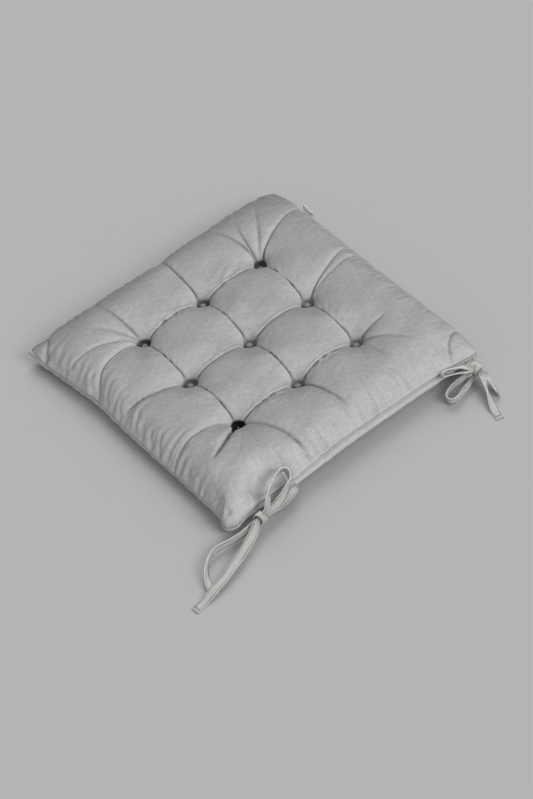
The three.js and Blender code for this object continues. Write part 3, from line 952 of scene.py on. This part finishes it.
def normals_of(points):
    along = np.gradient(points, axis=1)
    up = np.gradient(points, axis=0)
    return unit(np.cross(along, up))


def edge_gathers(u, v, strength):
    """Small puckers along the seams that fade away inwards."""
    x, y = u * HALF, v * HALF
    total = np.zeros_like(x)
    random = np.random.default_rng(11)
    sides = [(HALF - x, y, 1.0), (HALF + x, y, 0.6), (HALF - y, x, 0.5), (HALF + y, x, 0.7)]
    for inset, along, amount in sides:
        wave = np.zeros_like(x)
        for wavelength in (9, 13, 19, 31):
            phase = random.uniform(0, 2 * math.pi)
            drift = 0.8 * np.sin(along / 37 + phase)
            wave += np.cos(along * 2 * math.pi / wavelength + phase + drift) * (wavelength / 19) ** 0.5
        total += amount * wave * np.exp(-inset / 14) * np.clip((HALF - np.abs(along)) / 30, 0, 1)
    return strength * total


# Shallow hollows in the top: x, y, radius and depth.
HOLLOWS = [
    (120, 185, 20, 10), (140, 190, 12, 8), (105, 190, 12, 5),
    (190, 190, 5, 4), (190, 160, 8, 3), (-165, 175, 16, 4),
]


def hollows(x, y):
    return sum(deep * np.exp(-((x - a) ** 2 + (y - b) ** 2) / size ** 2)
               for a, b, size, deep in HOLLOWS)


def finished_top(u, v, swell):
    hold = rim_hold(u, v)[..., None]
    points = broad_top(u, v) + swell * hold
    normal = normals_of(points)
    x, y = u * HALF, v * HALF
    depth, slide, mark = top_folds(u, v)
    open_area = np.clip(tuft_distance(x, y) / 30, 0, 1)
    depth = depth - 0.5 * open_area * ripple(x, y, 42, 5) - 0.16 * ripple(x, y, 11, 8)
    depth = depth - edge_gathers(u, v, 0.5) + hollows(x, y)
    points = points - normal * depth[..., None] * hold
    points[..., :2] += slide * hold
    # Painted shade along the front rim and its far corner: the cover is painted darker there.
    from_corner = np.hypot(HALF + x, HALF + y)
    rim_painted_shade = 0.26 * np.exp(-((HALF + y) / 30) ** 2) + 0.12 * np.exp(-(from_corner / 60) ** 2)
    mark = np.maximum(mark, rim_painted_shade * (0.85 + 0.15 * ripple(x, y, 60, 12)))
    # Painted shade in the groove just above the seam, strongest along the tie edge.
    above = points[..., 2] - seam_height(x, y)
    edge = np.where((v > np.abs(u)), 0.8, 0.25) * (outer_share(u, v) > 0.9)
    mark = np.maximum(mark, edge * np.exp(-((above - 2.2) / 1.5) ** 2))
    return seam_tucked(points, u, v), mark


def seam_tucked(points, u, v):
    """Draws the last few millimetres of a cover in to the seam, so a groove runs round the pad."""
    seam = seam_height(u * HALF, v * HALF)
    outer = np.clip((outer_share(u, v) - 0.85) / 0.1, 0, 1)
    close = np.exp(-((points[..., 2] - seam) / 3.2) ** 2) * outer
    points = points.copy()
    points[..., :2] -= outward_of(u, v) * (SEAM_GROOVE * close)[..., None]
    return points


def finished_bottom(u, v, swell):
    points = broad_bottom(u, v) + swell
    normal = normals_of(points)
    x, y = u * HALF, v * HALF
    depth = 0.15 * ripple(x, y, 13, 21) + edge_gathers(u, v, 0.25)
    points = points + normal * depth[..., None]
    points[..., 2] = np.maximum(points[..., 2], 0.05)
    return seam_tucked(points, u, v), np.zeros_like(u)


TOP_LINES = 301
BOTTOM_LINES = 201


def make_pad(materials):
    pieces = {}
    swell = simulated_swell()
    for name, count, build, flipped in (
        ("pad_top_cover", TOP_LINES, finished_top, False),
        ("pad_bottom_cover", BOTTOM_LINES, finished_bottom, True),
    ):
        lines = surface_lines(count, 2.6)
        u, v = np.meshgrid(lines, lines)
        points, mark = build(u, v, 0.0 if swell is None else spread_swell(swell[len(pieces)], lines))
        faces = grid_faces(np.arange(u.size).reshape(u.shape), flipped)
        piece = mesh_object(name, points.reshape(-1, 3), faces, materials["velvet"], "pad")
        # The amount of painted shade at each point, read by the cover velvet.
        painted_shade = piece.data.attributes.new("painted_shade", "FLOAT", "POINT")
        painted_shade.data.foreach_set("value", mark.ravel())
        shell = piece.modifiers.new("cloth", "SOLIDIFY")
        shell.thickness = CLOTH * MM
        shell.offset = -1
        pieces[name] = piece
    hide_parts("top_cover", "fibre_filling", "seam_stitching")
    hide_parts("bottom_cover")
    make_seam_rim(materials)
    make_buttons(materials)
    make_label(materials)


BUTTON_RADIUS = 3.7
# How far each top button lies below the cloth at its tuft, in the order of the tufts.
BUTTON_SINK = [1.5, 0, 1, -1, -1.5, -0.5, -0.5, -1.5, 11]
# Share of the radius and height of a covered button, from its middle to under its edge.
BUTTON_PROFILE = [
    (0, 1.9), (0.3, 1.8), (0.55, 1.5), (0.66, 1.05), (0.74, 0.95), (0.86, 1.15), (0.97, 0.75),
    (1.0, 0.2), (0.95, -0.3), (0.8, -0.6),
]


def make_buttons(materials):
    """Velvet covered buttons: a dome, a ring pushed in round it and the cloth puckered under its edge; their
    darker velvet is painted shade.
    """
    sides = 24
    profile = BUTTON_PROFILE
    for number, ((x, y), lift, sink) in enumerate(zip(TUFTS, TUFT_LIFTS, BUTTON_SINK), start=1):
        height = TUFT_TOP_Z + lift - sink
        points = [(x, y, height + profile[0][1])]
        for radius, rise in profile[1:]:
            for k in range(sides):
                turn = 2 * math.pi * k / sides
                pucker = 1 + 0.02 * math.cos(6 * turn + number)
                points.append((x + BUTTON_RADIUS * radius * pucker * math.cos(turn),
                               y + BUTTON_RADIUS * radius * pucker * math.sin(turn), height + rise))
        faces = [(0, 1 + k, 1 + (k + 1) % sides) for k in range(sides)]
        faces += [(a + 1, d + 1, c + 1, b + 1) for a, b, c, d in tube_faces(len(profile) - 1, sides)]
        last = 1 + (len(profile) - 2) * sides
        faces.append(tuple(last + k for k in range(sides - 1, -1, -1)))
        button = mesh_object(f"pad_button_{number}", points, faces, materials["button"], "pad")
        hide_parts(f"tuft_button_top_{number}")


LABEL_WIDTH = 22
LABEL_THICKNESS = 0.6
LABEL_ROUTE = [(-196, 14.5), (-201, 14.7), (-205, 16), (-207.4, 18.4), (-207.8, 22)]
LABEL_MIDDLE_Y = -137


def make_label(materials):
    """The blank care label: a satin tab that stands out of the side seam and bows round the rim."""
    route = along_curve([(x, 0, z) for x, z in LABEL_ROUTE], 34)
    step = unit(np.gradient(route, axis=0))
    normal = np.stack([step[:, 2], np.zeros(len(step)), -step[:, 0]], axis=1)
    across = np.linspace(-0.5, 0.5, 15)
    layers = []
    for face in (0.5, -0.5):
        for i, (point, out) in enumerate(zip(route, normal)):
            share = i / (len(route) - 1)
            for a in across:
                wave = 0.9 * share ** 2 * math.sin(a * 5 + 0.6)
                hem = 0.35 if abs(a) > 0.45 or share > 0.93 else 0
                lift = out * (wave + face * (LABEL_THICKNESS + hem))
                layers.append((point[0] + lift[0], LABEL_MIDDLE_Y + a * LABEL_WIDTH, point[2] + lift[2]))
    rows, columns = len(route), len(across)
    index = np.arange(rows * columns).reshape(rows, columns)
    faces = grid_faces(index, False) + grid_faces(index + index.size, True)
    rim = [(0, k) for k in range(columns)] + [(i, columns - 1) for i in range(1, rows)]
    rim += [(rows - 1, k) for k in range(columns - 2, -1, -1)] + [(i, 0) for i in range(rows - 2, 0, -1)]
    for (i, k), (j, m) in zip(rim, rim[1:] + rim[:1]):
        a, b = i * columns + k, j * columns + m
        faces.append((b, a, a + rows * columns, b + rows * columns))
    label = mesh_object("pad_care_label", layers, faces, materials["label"], "pad")
    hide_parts("care_label")


SEAM_RIM_RADIUS = 1.7
SEAM_STITCH_PITCH = 4


def seam_line():
    """The line where the two covers meet, all round the pad."""
    t = np.linspace(-1, 1, 181)[:-1]
    one = np.ones_like(t)
    u = np.concatenate([t, one, -t, -one])
    v = np.concatenate([-one, t, one, -t])
    points = seam_tucked(broad_top(u, v), u, v)
    return points + outward_of(u, v) @ np.eye(2, 3) * 0.9


def make_seam_rim(materials):
    """The turned edge of the covers at the seam: a thin roll that puckers at each stitch."""
    line = seam_line()
    step = unit(np.roll(line, -1, axis=0) - np.roll(line, 1, axis=0))
    side = unit(np.cross(step, (0, 0, 1)))
    length = np.concatenate([[0], np.cumsum(np.linalg.norm(np.diff(line, axis=0), axis=1))])
    sides = 8
    points = []
    for place, across, distance in zip(line, side, length):
        size = SEAM_RIM_RADIUS * (1 + 0.16 * math.cos(distance * 2 * math.pi / SEAM_STITCH_PITCH))
        size *= 1 + 0.2 * math.sin(distance / 23)
        for k in range(sides):
            turn = 2 * math.pi * k / sides
            points.append(place + size * (across * math.cos(turn) + np.array((0, 0, 1.1)) * math.sin(turn)))
    faces = tube_faces(len(line), sides, closed=True)
    mesh_object("pad_seam_rim", points, faces, materials["rim"], "pad")


# ---- floor and light ----

FLOOR_HALF = 6
KEY_TOWARDS = (-0.27, 0.74, 0.6)
KEY_SPREAD = 30
KEY_STRENGTH = 1.1
BACK_TOWARDS = (-0.5, -0.55, 0.66)
BACK_SPREAD = 40
BACK_STRENGTH = 1.4
SKY_STRENGTH = 0.4


def make_stage():
    reach = FLOOR_HALF
    corners = [(-reach, -reach, 0), (reach, -reach, 0), (reach, reach, 0), (-reach, reach, 0)]
    mesh = bpy.data.meshes.new("floor")
    mesh.from_pydata(corners, [], [(0, 1, 2, 3)])
    mesh.materials.append(floor_paint())
    placed("floor", mesh)


def sun_light(name, towards, spread, strength):
    data = bpy.data.lights.new(name, "SUN")
    data.energy = strength
    data.angle = math.radians(spread)
    placed(name, data).rotation_euler = (-Vector(towards)).to_track_quat("-Z", "Y").to_euler()


def make_lights():
    sun_light("key_light", KEY_TOWARDS, KEY_SPREAD, KEY_STRENGTH)
    sun_light("back_light", BACK_TOWARDS, BACK_SPREAD, BACK_STRENGTH)
    world = bpy.data.worlds.new("studio")
    world.use_nodes = True
    background = world.node_tree.nodes["Background"]
    background.inputs["Color"].default_value = (1, 1, 1, 1)
    background.inputs["Strength"].default_value = SKY_STRENGTH
    bpy.context.scene.world = world
    bpy.context.scene.view_settings.view_transform = "Standard"


# ---- cloth simulation of the stuffed covers ----

SIM_LINES = 121
SIM_FRAMES = 26
SHEET = 450
SWELL_LIMIT = 6.0
COVER_CLOTH = {
    "quality": 6, "mass": 0.3, "air_damping": 1, "tension_stiffness": 15, "compression_stiffness": 15,
    "shear_stiffness": 5, "bending_stiffness": 0.4, "tension_damping": 5, "compression_damping": 5,
    "shear_damping": 5, "bending_damping": 0.5, "pin_stiffness": 1, "use_pressure": True,
    "uniform_pressure_force": 9.0,
}


def sim_grid():
    """The two covers as one closed sheet, sewn along the rim: points, flat cut points and faces."""
    count = SIM_LINES
    lines = np.linspace(-1, 1, count)
    u, v = np.meshgrid(lines, lines)
    rim = (np.abs(u) == 1) | (np.abs(v) == 1)
    layers = [broad_top(u, v), broad_bottom(u, v)]
    index = np.arange(count * count).reshape(count, count)
    inner = np.full((count, count), -1)
    inner[~rim] = count * count + np.arange(np.count_nonzero(~rim))
    lower = np.where(rim, index, inner)
    points = np.vstack([layers[0].reshape(-1, 3), layers[1][~rim]])
    flat = [np.stack([u * SHEET / 2, v * SHEET / 2, SEAM_Z + lift * ~rim], axis=-1) for lift in (2, -2)]
    cut = np.vstack([flat[0].reshape(-1, 3), flat[1][~rim]])
    faces = grid_faces(index, False) + grid_faces(lower, True)
    return lines, rim, index, lower, points, cut, faces


def simulated_swell():
    """Blows the sewn covers up like a cushion, held at the tufts, and returns how far each point moved."""
    lines, rim, index, lower, points, cut, faces = sim_grid()
    mesh = bpy.data.meshes.new("covers_in_simulation")
    mesh.from_pydata((points * MM).tolist(), [], faces)
    covers = placed("covers_in_simulation", mesh)
    scene = bpy.context.scene
    covers.shape_key_add(name="Basis")
    key = covers.shape_key_add(name="cut_size")
    key.data.foreach_set("co", (cut * MM).ravel())
    held = covers.vertex_groups.new(name="held")
    u, v = np.meshgrid(lines, lines)
    near_tuft = tuft_distance(u * HALF, v * HALF) < 5
    held.add(np.unique(np.concatenate([index[near_tuft], lower[near_tuft]])).tolist(), 1.0, "REPLACE")
    held.add(index[rim].tolist(), 0.3, "REPLACE")
    held.add(lower[~rim & ~near_tuft].tolist(), 0.12, "REPLACE")
    held.add(index[~rim & ~near_tuft].tolist(), 0.004, "REPLACE")
    cloth = covers.modifiers.new("cloth", "CLOTH")
    settings = cloth.settings
    for name, value in COVER_CLOTH.items():
        setattr(settings, name, value)
    settings.vertex_group_mass = held.name
    settings.rest_shape_key = key
    settings.effector_weights.gravity = 0
    cloth.collision_settings.use_collision = False
    cloth.collision_settings.use_self_collision = False
    cloth.point_cache.frame_start = 1
    cloth.point_cache.frame_end = SIM_FRAMES
    for step in range(1, SIM_FRAMES + 1):
        scene.frame_set(step)
    settled = bpy.data.meshes.new_from_object(covers.evaluated_get(bpy.context.evaluated_depsgraph_get()))
    ended = np.empty(len(settled.vertices) * 3)
    settled.vertices.foreach_get("co", ended)
    bpy.data.objects.remove(covers)
    bpy.data.meshes.remove(settled)
    scene.frame_set(1)
    moved = ended.reshape(-1, 3) / MM - points
    size = np.linalg.norm(moved, axis=1, keepdims=True)
    moved *= SWELL_LIMIT * np.tanh(size / SWELL_LIMIT) / np.maximum(size, 1e-6)
    return moved[index], moved[lower]


def row_weights(lines):
    """Catmull-Rom weights that read evenly spaced rows at the given places between -1 and 1."""
    place = (lines + 1) / 2 * (SIM_LINES - 1)
    first = np.clip(np.floor(place).astype(int), 0, SIM_LINES - 2)
    t = place - first
    weights = np.stack([-t ** 3 + 2 * t ** 2 - t, 3 * t ** 3 - 5 * t ** 2 + 2, -3 * t ** 3 + 4 * t ** 2 + t,
                        t ** 3 - t ** 2], axis=1) / 2
    rows = np.clip(first[:, None] + np.arange(-1, 3), 0, SIM_LINES - 1)
    matrix = np.zeros((len(lines), SIM_LINES))
    for k in range(4):
        np.add.at(matrix, (np.arange(len(lines)), rows[:, k]), weights[:, k])
    return matrix


def spread_swell(moved, lines):
    """The simulated movement, read off at the finer grid's lines."""
    matrix = row_weights(lines)
    return np.stack([matrix @ moved[..., k] @ matrix.T for k in range(3)], axis=-1)


# ---- the scene ----

make_camera()
materials = {
    # The cover velvet is painted darker on slopes facing away from (0.42, 0.9, 0) and lighter on slopes
    # facing it.
    "velvet": velvet("cover_velvet", (0.345, 0.345, 0.348), (0.445, 0.445, 0.447), 0.3, (0.42, 0.9, 0)),
    # The seam rim is the cover's own velvet, painted lighter as a highlight where light catches the edge.
    "rim": velvet("seam_rim_painted_highlight", grey(0.54), grey(0.66), 0.3),
    "tie": velvet("tie_velvet", (0.48, 0.475, 0.455), (0.64, 0.635, 0.615), 0.35),
    "button": shaded_button_cloth(),
    # The tie's hemmed edges take a lighter copy of the tie velvet: a painted highlight along the edges.
    "tie_edge": velvet("tie_edge_painted_highlight", (0.62, 0.615, 0.6), (0.8, 0.795, 0.775), 0.35),
    "tie_thread": sewing_thread("tie_thread", 0.12, 0.2),
    "thread": sewing_thread("sewing_thread", 0.2, 0.36),
    "label": satin_label(),
}
make_ties(materials)
make_pad(materials)
for name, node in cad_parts.items():
    # The bottom tuft buttons take the same darker button velvet, painted shade; the tuft threads take the
    # sewing thread.
    for start, look in (("tuft_button_bottom", "button"), ("tuft_thread", "thread")):
        if name.startswith(start):
            node.data.materials.clear()
            node.data.materials.append(materials[look])
make_stage()
make_lights()
